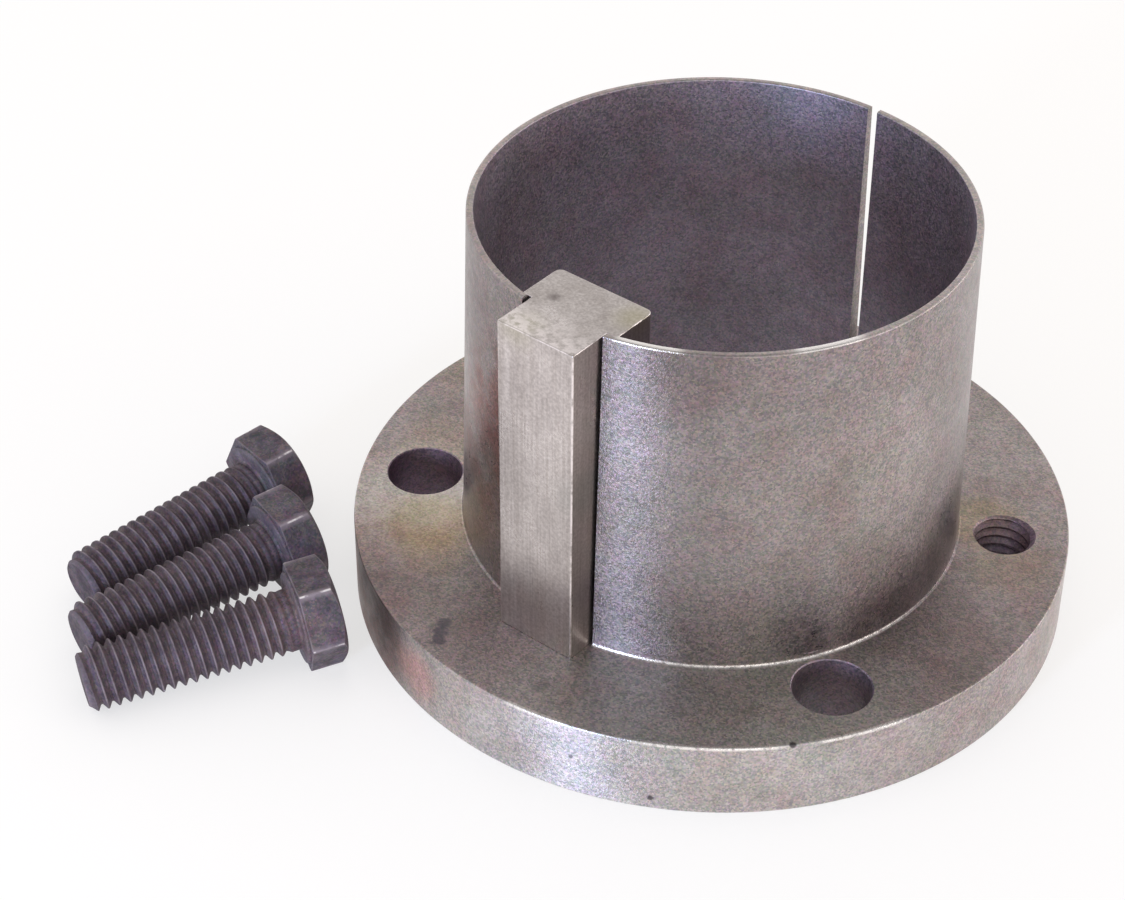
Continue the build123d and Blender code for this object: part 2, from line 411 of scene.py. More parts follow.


# The body's finishes, in the order of their material slots: name, setting of its colour, how far
# it draws a light out, roughness, and spots of colour.  On the flange's side the spots are stains;
# the others are painted light and shade: a painted highlight streak on the barrel and painted shade
# low on its front above the front hole, painted lighter, cooler patches on the faced top in place
# of its reflections, painted light high in the bore and painted shade deep in it, and a painted
# reflection on the wall of the front hole.
# A place is an angle in degrees and a radius in mm, with a height where it is off the flange's top.
BARREL, FLANGE_SIDE, FACED, BORE, HOLES = range(5)
BODY_FINISHES = (
    ("fine_turned_steel", "barrel_steel", 0.8, 0.33, (
        ((-22, 36, 38), 22, 0.12, "efe6de"), ((-14, 36, 13), 9, 0.6, "4c4549"),
        ((0, 36, 15), 10, 0.6, "4c4549"), ((14, 36, 19), 11, 0.6, "4c4549"),
    )),
    ("rough_turned_steel", "rim_steel", 0.8, 0.42, (
        ((-119, 53, 6), 15, 0.5, "6c5a58"), ((-104, 53, 6), 6, 0.5, "f0b4b4"),
    )),
    ("faced_steel", "flange_steel", 0.1, 0.47, (
        ((-140, 43), 18, 0.65, "efe6de"), ((-50, 46), 36, 0.34, "dde8de"),
    )),
    ("bored_oily_steel", "bore_steel", 0.3, 0.5, (
        ((195, 34, 46), 24, 0.15, "efe6de"), ((130, 34, 16), 22, 0.3, "6c6468"),
    )),
    ("drilled_oily_steel", "hole_steel", 0.0, 0.5, (((-30, 43, 6), 11, 0.25, "d4dcc8"),)),
)
# Darker patches: a dull smudge on the flange's top, and painted shade on the flange's side and on the
# barrel's left and top
DULLING_AND_SHADE_SPOTS = (
    ((-98, 45), 13, 0.7), ((-4, 53, 6), 34, 0.8), ((-122, 53, 5), 24, 1.0),
    ((-125, 36, 56), 20, 0.8), ((-60, 36, 62), 14, 0.7),
)
DRIED_OIL_SPOTS = (
    ((-133, 41.4), 9, 0.7), ((-124, 42), 7, 0.5), ((-160, 42), 9, 0.4),
    ((33, 40), 8, 0.75), ((20, 45), 8, 0.4), ((170, 46), 14, 0.5),
)
RUST_SPOTS = (
    ((-113, 53, 6), 8, 0.7), ((-130, 53, -3), 20, 1.0),
    ((-118, 36, 34), 16, 1.0), ((-108, 36, 45), 12, 1.0),
)
SMUDGES = (
    ((-101.9, 49.7), 1.5, 0.7), ((-103.3, 48.4), 1.5, 0.7),
    ((-104.9, 47.1), 1.4, 0.6), ((-58, 43.3), 5.5, 0.15), ((-82, 47), 1.6, 0.3),
)
NICKS = (
    ((-40.6, 52.3), 0.7, 0.9), ((-61.2, 52.3, 2), 0.6, 0.8),
    ((-73.5, 52.3, 6.5), 0.5, 0.6),
)
# Stains and a dark dot on the key's top; painted shade on its right side and low on its front
KEY_STAINS_AND_SHADE = (
    ((-3.3, -38.6, 63.1), 4.5, 0.3, "a5a276"), ((7.2, -28.2, 63.1), 4.5, 0.35, "b0a878"),
    ((-4.0, -31.3, 63.1), 1.4, 0.6, "6a605f"), ((6.4, -36.5, 40.0), 6.0, 0.35, "86908a"),
    ((6.4, -36.5, 22.0), 6.0, 0.3, "8d8494"), ((0.0, -42.0, 18.0), 9.0, 0.12, "8f928c"),
)


def edge_glints_and_polish(tree, place_on, flat_place, ring_place, sizes):
    """Mask of painted glints on the edges, where the steel is also made smoother.

    They are broken stretches of the flange's rim, the fillet of the barrel's root in front, and
    the barrel's end, each placed where the light catches it.
    """
    split = add(tree, "SeparateXYZ", {0: place_on}).outputs
    broken_up = grain(tree, place_on, 0.6 * MM, 0.3, 0.55, detail=2.0, seed=37.0)
    rim_gap = gap_to(tree, ring_place, (
        sizes.flange_radius - 0.1 * MM, sizes.flange_thickness - 0.1 * MM, 0))
    rim_edge = fade(tree, rim_gap, 0.5 * MM, 0.25 * MM)
    # Painted glints on the rim at three places round the front
    painted_rim_glints = either(tree, *(near(tree, place_on, on_flange(turn, 52.3), spread, edge=0.6)
                           for turn, spread in ((-79.5, 5.5), (-52.5, 12.0), (-30, 8.0))))

    # The front of the flange, where the root fillet gets a painted glint
    to_front = add(tree, "VectorMath", {0: flat_place, 1: on_flange(-55, 1, 0)},
                   operation="DOT_PRODUCT").outputs["Value"]
    front_of_painted_glint = fade(tree, to_front, 0.5 * sizes.bore_radius, 1.05 * sizes.bore_radius)
    root_gap = gap_to(tree, ring_place, (
        barrel_large_radius(sizes) + 0.15 * MM, sizes.flange_thickness + 0.15 * MM, 0))
    root_edge = both(tree, fade(tree, root_gap, 0.4 * MM, 0.2 * MM), broken_up,
                     fade(tree, split["X"], -6 * MM, 6 * MM))

    end_edge = fade(tree, split["Z"], sizes.height - 0.3 * MM, sizes.height - 0.1 * MM)
    # Painted glints on the barrel's end at two places in front
    left, right = (near(tree, place_on, on_flange(turn, 35.5, 63.5), spread, edge=0.6)
                   for turn, spread in ((-69, 5.5), (-30, 6.0)))
    painted_glints = add(tree, "Math", {0: left, 1: right}, operation="ADD").outputs[0]
    return either(tree, both(tree, rim_edge, painted_rim_glints, broken_up), both(tree, root_edge, front_of_painted_glint, 0.8),
                  both(tree, end_edge, between(tree, painted_glints, 0.12, 0.95)))


def lathe_steel(name, base, drawn_out, roughness, spots, colours, sizes):
    """Carbon steel cut on a lathe, bare, lightly oiled and handled.

    Turning leaves fine rings round the axis, so a light is drawn out across them into an upright
    band on the barrel and the rim, and little on faced and drilled steel.  Between the rings the
    surface is mottled, dull warm grey.  Painted glints lie on its edges, and painted light and shade
    lie in some of its spots.
    """
    material, tree, place_on, surface = new_material(name)
    height = add(tree, "SeparateXYZ", {0: place_on}).outputs["Z"]
    flat_place = add(tree, "VectorMath", {0: place_on, 1: (1, 1, 0)},
                     operation="MULTIPLY").outputs[0]
    radius = add(tree, "VectorMath", {0: flat_place}, operation="LENGTH").outputs["Value"]
    ring_place = add(tree, "CombineXYZ", {0: radius, 1: height}).outputs[0]
    around = add(tree, "VectorMath", {0: (0, 0, 1), 1: flat_place},
                 operation="CROSS_PRODUCT").outputs[0]

    # Mottling from the size of a crystal to that of a stain
    mottled = grain(tree, place_on, 1.6 * MM, 0.3, 0.7, detail=4.0, seed=7.0)
    crystals = add(tree, "TexVoronoi", {"Vector": place_on, "Scale": 1 / (0.27 * MM)})
    crystal_hue = crystals.outputs["Color"]
    crystal = add(tree, "SeparateColor", {0: crystal_hue}).outputs[0]
    # The finish's spots: stains on the flange's side, painted light and shade on the other finishes
    shade = spotted(tree, place_on, base, spots, edge=0.3)
    for hex_colour, size, low, seed, strength in (      # cloudy, pinkish and greenish
        ("c4bab2", 12 * MM, 0.35, 3.0, 0.35), ("ffe6ea", 5 * MM, 0.45, 17.0, 0.35),
        ("e8f4ea", 6 * MM, 0.45, 29.0, 0.4),
    ):
        blotches = grain(tree, place_on, size, low, 0.65, detail=3.0, seed=seed)
        shade = tint(tree, shade, hex_colour, blotches, strength, blend="MULTIPLY")
    shade = tint(tree, shade, "b8b0b4", mottled, 0.25, blend="MULTIPLY")
    shade = tint(tree, shade, crystal, 0.24, blend="OVERLAY")
    shade = tint(tree, shade, crystal_hue, 0.1, blend="OVERLAY")
    # Painted shade on the flange's side and the barrel's left and top, and one dulled smudge on the
    # flange's top
    shade = spotted(tree, place_on, shade, DULLING_AND_SHADE_SPOTS, "d8d1d2", edge=0.1, blend="MULTIPLY")

    # Stains where oil has dried and where the first rust has come, and smudges with ragged edges
    patchy = grain(tree, place_on, 5 * MM, 0.35, 0.6, detail=4.0, seed=23.0)
    shade = spotted(tree, place_on, shade, DRIED_OIL_SPOTS, colours.olive_stain, blend="MULTIPLY")
    shade = spotted(tree, place_on, shade, RUST_SPOTS, colours.rust_stain, blend="MULTIPLY",
                    through=(patchy,))
    ragged = add(tree, "TexNoise", {"Vector": place_on, "Scale": 600.0, "Detail": 2.0})
    shifted = add(tree, "VectorMath", {0: ragged.outputs["Color"], 1: (0.5, 0.5, 0.5)},
                  operation="SUBTRACT")
    shifted = add(tree, "VectorMath", {0: shifted.outputs[0], 1: (3.0 * MM,) * 3,
                                       2: place_on}, operation="MULTIPLY_ADD").outputs[0]
    shade = spotted(tree, shifted, shade, SMUDGES, "5a5560")
    # Painted glints, near white, on broken stretches of the edges
    polished = edge_glints_and_polish(tree, place_on, flat_place, ring_place, sizes)
    shade = tint(tree, shade, colours.glint_and_polish, polished)
    shade = spotted(tree, place_on, shade, NICKS, "4a4348")

    # Roughness varies with the mottling and drops under the painted edge glints
    rough = between(tree, mottled, roughness - 0.09, roughness + 0.01)
    rough = add(tree, "Math", {0: both(tree, crystal, 0.08), 1: rough}, operation="ADD")
    rough = add(tree, "Mix", {0: polished, 2: rough.outputs[0], 3: 0.25}).outputs[0]

    # Turning rings, drawn 0.35 mm apart so that they show, and the grain between them, whose
    # facets catch the light as sparkle
    ring_marks = grain(tree, ring_place, 0.35 * MM, 0.2, 0.8, detail=1.0, seed=5.0)
    glinting = grain(tree, place_on, 0.22 * MM, 0.3, 0.7, detail=1.0, seed=19.0)
    relief = add(tree, "Math", {0: both(tree, ring_marks, 0.6), 1: glinting},
                 operation="ADD").outputs[0]
    steel_surface(tree, surface, relief, 0.014 * MM, {
        "Base Color": shade, "Metallic": 1.0, "Roughness": rough, "Anisotropic": drawn_out,
        "Anisotropic Rotation": 0.25, "Tangent": around,
    })
    return material


def ground_key_steel(colours):
    """Cold-drawn key stock, ground on its long faces.

    Grinding runs along the key, so the faces carry fine upright lines and are brighter and
    smoother than the turned steel round them.  Handling has left its edges white in places.  The
    top of its front is painted lighter, and painted shade lies on its right side and low on its front.
    """
    material, tree, place_on, surface = new_material("ground_key_steel")
    worn = add(tree, "Attribute", attribute_name="wear").outputs["Fac"]
    lines = grain(tree, place_on, 0.32 * MM, 0.25, 0.75, stretch=(1, 1, 60), detail=2.0, seed=2.0)
    blotches = grain(tree, place_on, 5 * MM, 0.35, 0.65, stretch=(1, 1, 2.5), detail=4.0, seed=8.0)
    speckled = grain(tree, place_on, 0.4 * MM, 0.3, 0.7, detail=1.0, seed=12.0)
    # Painted light: the top of the key's front is made paler
    painted_top_light = near(tree, place_on, (-2.0, -51.0, 55.0), 22.0, edge=0.2)
    shade = tint(tree, colours.key_steel, "fbf2f0", painted_top_light, 0.9)
    for hex_colour, mask, strength in (("bdb6ae", lines, 0.45), ("b5ada6", blotches, 0.35),
                                       ("a8a2a2", speckled, 0.4)):
        shade = tint(tree, shade, hex_colour, mask, strength, blend="MULTIPLY")
    # Stains on the key's top, painted shade on its right side and low on its front
    shade = spotted(tree, place_on, shade, KEY_STAINS_AND_SHADE, edge=0.1, place_of=lambda *place_mm: place_mm)
    chipped = grain(tree, place_on, 1.5 * MM, 0.38, 0.55, detail=3.0, seed=6.0)
    shade = tint(tree, shade, "fbf0ee", worn, chipped, 0.9)
    relief = add(tree, "Math", {0: lines, 1: both(tree, speckled, 0.5)},
                 operation="ADD").outputs[0]
    steel_surface(tree, surface, relief, 0.006 * MM, {
        "Base Color": shade, "Metallic": 1.0, "Roughness": between(tree, blotches, 0.26, 0.36),
    })
    return material


def black_oxide_steel(colours):
    """Rolled and forged alloy steel under black oxide, with a film of oil.

    The oxide is a thin dark layer, purplish where the oil is, and steel shows through it on the
    thread's crests and the head's edges, which the piece's own wear attribute marks.  Where that
    attribute is above 1, on the head's corners, it marks painted glints, and painted light pales the
    thread's roots.
    """
    material, tree, place_on, surface = new_material("black_oxide_steel")
    worn = add(tree, "Attribute", attribute_name="wear").outputs["Fac"]
    depth = add(tree, "Attribute", attribute_name="depth").outputs["Fac"]
    threaded = add(tree, "Math", {0: depth, 1: 0.05}, operation="GREATER_THAN").outputs[0]
    patchy = grain(tree, place_on, 3 * MM, 0.38, 0.62, detail=4.0, seed=4.0)
    clouded = grain(tree, place_on, 2.2 * MM, 0.4, 0.62, detail=4.0, seed=33.0)
    greenish = grain(tree, place_on, 4 * MM, 0.42, 0.6, detail=4.0, seed=14.0)
    browned = near(tree, place_on, (-32.0, -57.0, 8.0), 8.0)
    scales = add(tree, "TexVoronoi", {"Vector": place_on, "Scale": 1 / (0.3 * MM)})
    scale_hue = scales.outputs["Color"]
    scale = add(tree, "SeparateColor", {0: scale_hue}).outputs[0]
    shade = tint(tree, colours.black_oxide, "585864", patchy, 0.6)
    shade = tint(tree, shade, "5a5e58", greenish, 0.4)
    shade = tint(tree, shade, "443a40", threaded, 0.8)
    shade = tint(tree, shade, "75605c", browned, 0.6)
    # Painted light: the deeper in the thread, the paler, to lift the shade in the roots
    shade = tint(tree, shade, colours.painted_root_light, depth)
    shade = tint(tree, shade, "a094a4", clouded, 0.5, blend="MULTIPLY")
    shade = tint(tree, shade, scale, 0.2, blend="OVERLAY")
    shade = tint(tree, shade, scale_hue, 0.15, blend="OVERLAY")
    shade = tint(tree, shade, colours.worn_oxide, worn, between(tree, patchy, 0.2, 0.8))
    # Painted glints, near white, where the wear attribute is above 1: the head's corners
    painted_glints = add(tree, "MapRange", {"Value": worn, "From Min": 1.0, "From Max": 2.0}).outputs["Result"]
    broken_up = grain(tree, place_on, 2.5 * MM, 0.5, 0.62, detail=3.0, seed=21.0)
    shade = tint(tree, shade, colours.glint_and_polish, painted_glints, broken_up, 0.7)
    steel_surface(tree, surface, clouded, 0.03 * MM, {
        "Base Color": shade, "Metallic": 0.3, "Roughness": between(tree, clouded, 0.6, 0.72),
        "Specular IOR Level": 0.3,
    })
    return material


# ---------------- bushing body
def barrel_small_radius(sizes):
    """Outside radius of the barrel's end."""
    return sizes.bore_radius + sizes.barrel_wall


def barrel_large_radius(sizes):
    """Outside radius of the barrel where it meets the flange."""
    return barrel_small_radius(sizes) + sizes.taper_rise


def wall_profile(sizes):
    """Closed section of flange and barrel: straight runs joined by quarter rounds and a fillet."""
    bore, rim = sizes.bore_radius, sizes.flange_radius
    top, foot = sizes.height, sizes.flange_thickness
    mouth, edge, root, end = sizes.bore_round, sizes.rim_round, sizes.root_fillet, sizes.end_round
    small, large = barrel_small_radius(sizes), barrel_large_radius(sizes)
    slope = (large - small) / (top - foot)
    return np.vstack((
        arc((bore + mouth, mouth), mouth, 180, 270),
        arc((rim - edge, edge), edge, 270, 360),
        arc((rim - edge, foot - edge), edge, 0, 90),
        arc((large - slope * root + root, foot + root), root, 270, 180, 6),
        arc((small + slope * end - end, top - end), end, 0, 90),
        arc((bore + mouth, top - mouth), mouth, 90, 180),
    ))


def box_cutter(name, width, reach, low, high, turn):
    """Upright box from the axis outwards, turned to an angle, that cuts a slot in the barrel."""
    x = np.array([0, reach, reach, 0, 0])
    y = np.array([-1, -1, 1, 1, -1]) * width / 2
    sides = np.stack((x * math.cos(turn) - y * math.sin(turn),
                      x * math.sin(turn) + y * math.cos(turn)), axis=-1)
    middle = sides[:4].mean(axis=0)
    points = np.array([[(*(middle + (side - middle) * share), z) for side in sides]
                       for share, z in ((0, low), (1, low), (1, high), (0, high))])
    return place(name, surface_mesh(name, points))


def hole_cutter(name, radius, edge_break, thickness, centre):
    """Turned cutter of a plain hole whose two mouths are broken to small cones."""
    spare = 1.0 * MM
    wide = radius + edge_break + spare
    profile = np.array([
        (0, -spare), (wide, -spare), (radius, edge_break), (radius, thickness - edge_break),
        (wide, thickness + spare), (0, thickness + spare),
    ])
    return place(name, surface_mesh(name, turned(profile, 72, centre)))


def tap_cutter(name, sizes, minor_radius, centre):
    """Cutter of a tapped hole: a helicoid, widened to a cone at each mouth, closed by its ends."""
    spare = 0.8 * MM
    low, high = -spare, sizes.flange_thickness + spare
    turns = np.linspace(0, 2 * math.pi, 73)
    heights, depth = thread_rows(turns, sizes.thread_pitch, low, high)
    radii = minor_radius + sizes.tapped_depth * (1 - depth)
    past_mouth = np.maximum(-heights, heights - sizes.flange_thickness)
    radii = np.maximum(radii, minor_radius + sizes.tapped_mouth + past_mouth)
    points = rings(turns, radii, heights)
    ends = [rings(turns, np.zeros((1, 1)), np.full((1, 1), z)) for z in (low, high)]
    points = np.concatenate((ends[0], points, ends[1]))
    points[..., :2] += centre
    return place(name, surface_mesh(name, points))


def face_finishes(mesh, sizes):
    """Finish of each face, as its place in BODY_FINISHES."""
    skin, around_hole, upright = 0.01 * MM, 0.3 * MM, 0.8
    middles, facing = (np.empty(len(mesh.polygons) * 3) for _ in range(2))
    mesh.polygons.foreach_get("center", middles)
    mesh.polygons.foreach_get("normal", facing)
    places = middles.reshape(-1, 3)
    height, upward = places[:, 2], facing[2::3]
    radius = np.hypot(places[:, 0], places[:, 1])
    finish = np.where(height > sizes.flange_thickness - skin, BARREL, FLANGE_SIDE)
    finish[radius < sizes.bore_radius + sizes.bore_round] = BORE
    finish[np.abs(upward) > upright] = FACED
    within = (height > skin) & (height < sizes.flange_thickness - skin)
    holes = [(*centre, bolt_dims["hole_r_mm"] * MM) for centre in bolt_centres()]
    holes += [(*m["pos_m"][:2], m["dims"]["r_mm"] * MM + sizes.tapped_depth) for m in tapped_mounts]
    for x, y, hole_radius in holes:
        gap = np.hypot(places[:, 0] - x, places[:, 1] - y)
        finish[within & (gap < hole_radius + around_hole)] = HOLES
    return finish


class BUSHING_OT_turn_body(bpy.types.Operator):
    """Turn the bushing's body, saw its slots and drill and tap its flange"""
    bl_idname = "bushing.turn_body"
    bl_label = "Turn bushing body"
    bl_options = {"REGISTER", "UNDO"}

    def execute(self, context):
        sizes = context.scene.bushing_sizes
        body = place("bushing_turned", surface_mesh("bushing_turned", turned(wall_profile(sizes), 360)))
        foot, above = sizes.flange_thickness, sizes.height + 2 * MM
        beyond = barrel_large_radius(sizes) + sizes.root_fillet + 2 * MM
        cutters = [
            box_cutter("key_slot", sizes.slot_width, beyond, foot, above, math.radians(-90)),
            box_cutter("slit", sizes.slit_width, beyond, foot, above, sizes.slit_angle),
        ]
        for centre in bolt_centres():
            cutters.append(hole_cutter("clearance_hole", bolt_dims["hole_r_mm"] * MM,
                                       sizes.hole_break, foot, centre))
        for tapped in tapped_mounts:
            cutters.append(tap_cutter("tapped_hole", sizes, tapped["dims"]["r_mm"] * MM,
                                      tapped["pos_m"][:2]))
        cut(body, cutters)
        smooth(body)
        colours = context.scene.bushing_finish
        body.data.materials.clear()
        for name, base, drawn_out, roughness, spots in BODY_FINISHES:
            body.data.materials.append(lathe_steel(name, getattr(colours, base), drawn_out, roughness,
                                                   spots, colours, sizes))
        body.data.polygons.foreach_set("material_index", face_finishes(body.data, sizes))
        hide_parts("bushing_body")
        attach(body, "root")
        return {"FINISHED"}


# ---------------- stepped key
def rounded_corner(point, before, after, radius, steps=4):
    """Arc that rounds a corner of an outline, tangent to its two sides, as points and normals."""
    to_before = (before - point) / np.linalg.norm(before - point)
    to_after = (after - point) / np.linalg.norm(after - point)
    half = math.acos(np.clip(to_before @ to_after, -1, 1)) / 2
    middle = (to_before + to_after) / np.linalg.norm(to_before + to_after)
    centre = point + middle * radius / math.sin(half)
    start = point + to_before * radius / math.tan(half) - centre
    end = point + to_after * radius / math.tan(half) - centre
    first = math.atan2(start[1], start[0])
    sweep = (math.atan2(end[1], end[0]) - first + math.pi) % (2 * math.pi) - math.pi
    turns = first + sweep * np.linspace(0, 1, steps + 1)
    outward = np.column_stack((np.cos(turns), np.sin(turns)))
    side = 1.0 if sweep > 0 else -1.0
    return centre + radius * outward, side * outward


def key_outline(sizes, shoulder_y, outer_y):
    """Outline of the stepped key seen from above, counter-clockwise, with its outward normals."""
    inner, outer = sizes.inner_width / 2, sizes.outer_width / 2
    inner_y = shoulder_y + sizes.reach
    corners = np.array([
        (-outer, outer_y), (outer, outer_y), (outer, shoulder_y), (inner, shoulder_y),
        (inner, inner_y), (-inner, inner_y), (-inner, shoulder_y), (-outer, shoulder_y),
    ])
    hollow = 0.05 * MM
    rounds = [sizes.outer_round, sizes.outer_round, hollow, sizes.shoulder_round,
              sizes.inner_round, sizes.inner_round, sizes.shoulder_round, hollow]
    points, normals = zip(*(
        rounded_corner(corners[i], corners[i - 1], corners[(i + 1) % 8], rounds[i])
        for i in range(8)
    ))
    return np.vstack(points), np.vstack(normals)


class BUSHING_OT_fit_key(bpy.types.Operator):
    """Grind the stepped key and fit it in the barrel's slot"""
    bl_idname = "bushing.fit_key"
    bl_label = "Fit stepped key"
    bl_options = {"REGISTER", "UNDO"}

    def execute(self, context):
        sizes = context.scene.key_sizes
        low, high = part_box("stepped_key")
        outline, normals = key_outline(sizes, high.y - sizes.reach, low.y)
        # The outline carried up the key; at each end it draws in along a quarter round
        steps = np.radians(np.linspace(0, 90, 4))
        inset = sizes.end_round * (1 - np.cos(steps))
        drop = sizes.end_round * (1 - np.sin(steps))
        insets = np.concatenate((inset[::-1], inset))
        heights = np.concatenate((low.z + drop[::-1], high.z - drop))
        points = np.empty((len(heights), len(outline) + 1, 3))
        around = np.vstack((outline, outline[:1]))
        facing = np.vstack((normals, normals[:1]))
        points[..., :2] = around[None] - facing[None] * insets[:, None, None]
        points[..., 2] = heights[:, None]
        worn = np.zeros(points.shape[:2])
        worn[:, 1:9] = (0.6, 1.0, 0.6, 0.0, 0.0, 0.6, 1.0, 0.6)
        worn[-3:-1] = 1.0
        key = place("key_ground", surface_mesh("key_ground", points, {"wear": worn}, (high.z, low.z)))
        smooth(key)
        key.data.materials.append(ground_key_steel(context.scene.bushing_finish))
        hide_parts("stepped_key")
        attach(key, "root")
        return {"FINISHED"}


# ---------------- loose cap screws
def lying_frame(node, sizes):
    """Place and turn of a lying screw, from its CAD solid.

    The solid's centre of mass and its long principal axis lie on the screw's axis.  The head's
    end is the nearer one to the centre of mass, and one flat of the head faces most upwards.
    """
    mesh = frame["nodes"][node].data
    mesh.calc_loop_triangles()
    corners = np.empty(len(mesh.vertices) * 3)
    mesh.vertices.foreach_get("co", corners)
    corners = corners.reshape(-1, 3)
    triangles = np.empty(len(mesh.loop_triangles) * 3, dtype=np.int32)
    mesh.loop_triangles.foreach_get("vertices", triangles)
    a, b, c = (corners[triangles.reshape(-1, 3)[:, i]] for i in range(3))
    volumes = np.einsum("ij,ij->i", a, np.cross(b, c)) / 6
    centre = ((a + b + c) * volumes[:, None]).sum(axis=0) / 4 / volumes.sum()
    a, b, c = a - centre, b - centre, c - centre
    volumes = np.einsum("ij,ij->i", a, np.cross(b, c)) / 6
    total = a + b + c
    spread = sum(np.einsum("i,ij,ik->jk", volumes, p, p) for p in (a, b, c, total)) / 20
    axis = np.linalg.eigh(spread)[1][:, -1]
    reach = (corners - centre) @ axis
    if -reach.min() > reach.max():
        axis, reach = -axis, -reach
    tip = centre + axis * reach.max()
    up = np.array((0.0, 0.0, 1.0))
    flat = up - axis * (up @ axis)
    flat /= np.linalg.norm(flat)
    side = np.cross(axis, flat)
    seat = tip - axis * sizes.length
    return seat, np.array((flat, side, axis))


def head_columns(sizes):
    """Angles and radii of a hexagon with rounded corners, six times one flat and one corner."""
    corner = sizes.corner_round
    half = math.radians(30)
    far = (sizes.flat_radius - corner) / math.cos(half)
    last = math.atan((sizes.flat_radius - corner) * math.tan(half) / sizes.flat_radius)
    across = np.linspace(-last, last, sizes.columns_per_flat)
    flat = np.column_stack((np.full_like(across, sizes.flat_radius), sizes.flat_radius * np.tan(across)))
    bend = arc((far * math.cos(half), far * math.sin(half)), corner, 0, 60)
    sixth = np.vstack((flat, bend[1:-1]))
    turns = np.arctan2(sixth[:, 1], sixth[:, 0])
    radii = np.hypot(sixth[:, 0], sixth[:, 1])
    turns = (turns[None] + np.radians(60 * np.arange(6))[:, None]).ravel()
    radii = np.tile(radii, 6)
    return np.append(turns, turns[0] + 2 * math.pi), np.append(radii, radii[0])


def screw_points(sizes):
    """Grid of one screw along its axis, from the head's top to the tip, and its wear and depth.

    Each row is a ring.  The head's rings follow the hexagon, drawn in where its corners are turned
    to a cone; the shank's rows follow the thread; the tip is a short cone.
    """
    turns, hexagon = head_columns(sizes)
    edge = sizes.edge_round
    top = -sizes.head_height
    flat_circle = sizes.flat_radius - sizes.top_inset
    slope = math.tan(sizes.top_slope)
    cone_foot = top + (hexagon - flat_circle) * slope
    neck = sizes.radius - 0.3 * sizes.thread_depth
    washer = -sizes.washer_height
    worn, plain = 1.0, 0.0
    head = [
        (0.0, top, plain), (flat_circle * 0.6, top, plain), (flat_circle - edge, top, plain),
        (flat_circle + edge, top + edge * slope, 0.5),
        (hexagon - edge * 1.2, cone_foot - edge * 1.2 * slope, 0.4),
        (hexagon - edge * 0.3, cone_foot, worn), (hexagon, cone_foot + edge, 0.4),
        (hexagon, cone_foot + 3 * edge, plain), (hexagon, washer - 2 * edge, plain),
        (hexagon - 0.3 * edge, washer - 0.3 * edge, worn), (hexagon - 1.5 * edge, washer, plain),
        (flat_circle, washer, plain), (flat_circle, -edge, 0.3), (flat_circle - edge, 0.0, 0.3),
        (neck + 3 * edge, 0.0, plain), (neck + edge, edge, plain), (neck, 3 * edge, plain),
    ]
    head_points = np.concatenate([rings(turns, r, z)[None] for r, z, _ in head])
    head_wear_and_glints = np.array([np.full(len(turns), w) for _, _, w in head])
    # A wear of 2 along the head's corners marks painted glints, not wear
    head_wear_and_glints[6:9] = 2.0 * np.clip((hexagon - 0.99 * hexagon.max()) / (0.008 * hexagon.max()), 0, 1)

    thread_start, tip = 4 * edge, sizes.length
    heights, depth = thread_rows(turns, sizes.pitch, thread_start, tip)
    grown = np.clip((heights - sizes.neck) / sizes.runout, 0, 1)
    full = sizes.radius - sizes.thread_depth * depth
    radii = neck + (full - neck) * grown
    chamfer = sizes.radius - sizes.tip_chamfer + (tip - heights)
    thread_wear = np.clip(1 - depth * 14, 0, 1) * grown
    thread_wear = np.where(chamfer < radii, 0.35, thread_wear)
    radii = np.minimum(radii, chamfer)
    tip_ring = sizes.radius - sizes.tip_chamfer
    end_points = np.stack([rings(turns, np.full_like(turns, r), tip)
                           for r in (tip_ring - edge, tip_ring * 0.5, 0.0)])
    end_wear = np.zeros((3, len(turns)))
    points = np.concatenate((head_points, rings(turns, radii, heights), end_points))
    # This depth also pales the roots in the material, as painted light
    hidden = (0.1 + 0.9 * depth) * np.clip(heights / sizes.neck, 0, 1)
    return points, {"wear": np.concatenate((head_wear_and_glints, thread_wear, end_wear)),
                    "depth": np.concatenate((0 * head_wear_and_glints, hidden, end_wear + 0.2))}


class BUSHING_OT_lay_cap_screws(bpy.types.Operator):
    """Roll the threads of the cap screws and lay them where their solids are"""
    bl_idname = "bushing.lay_cap_screws"
    bl_label = "Lay cap screws"
    bl_options = {"REGISTER", "UNDO"}

    def execute(self, context):
        sizes = context.scene.screw_sizes
        oxide = black_oxide_steel(context.scene.bushing_finish)
        points, marks = screw_points(sizes)
        for node in sorted(n for n in frame["nodes"] if n.startswith("cap_screw")):
            seat, axes = lying_frame(node, sizes)
            name = node + "_threaded"
            screw = place(name, surface_mesh(name, seat + points @ axes, marks))
            smooth(screw, 50.0)
            screw.data.materials.append(oxide)
            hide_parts(node)
            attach(screw, "root")
        return {"FINISHED"}


# ---------------- stage
def direction(azimuth, elevation):
    """Unit vector towards a point seen at an azimuth from +X and an elevation, in radians."""
    return Vector((math.cos(azimuth) * math.cos(elevation), math.sin(azimuth) * math.cos(elevation),
                   math.sin(elevation)))


def soft_light(name, rgb, azimuth, elevation, distance, width, height, power):
    """Rectangular soft light that faces the bushing and is not seen itself."""
    lamp = bpy.data.lights.new(name, "AREA")
    lamp.shape = "RECTANGLE"
    lamp.size, lamp.size_y = width, height
    lamp.energy = power
    lamp.color = rgb
    holder = bpy.data.objects.new(name, lamp)
    towards = direction(math.radians(azimuth), math.radians(elevation))
    holder.location = towards * distance
    holder.rotation_mode = "QUATERNION"
    holder.rotation_quaternion = towards.to_track_quat("Z", "Y")
    holder.visible_camera = False
    bpy.context.scene.collection.objects.link(holder)


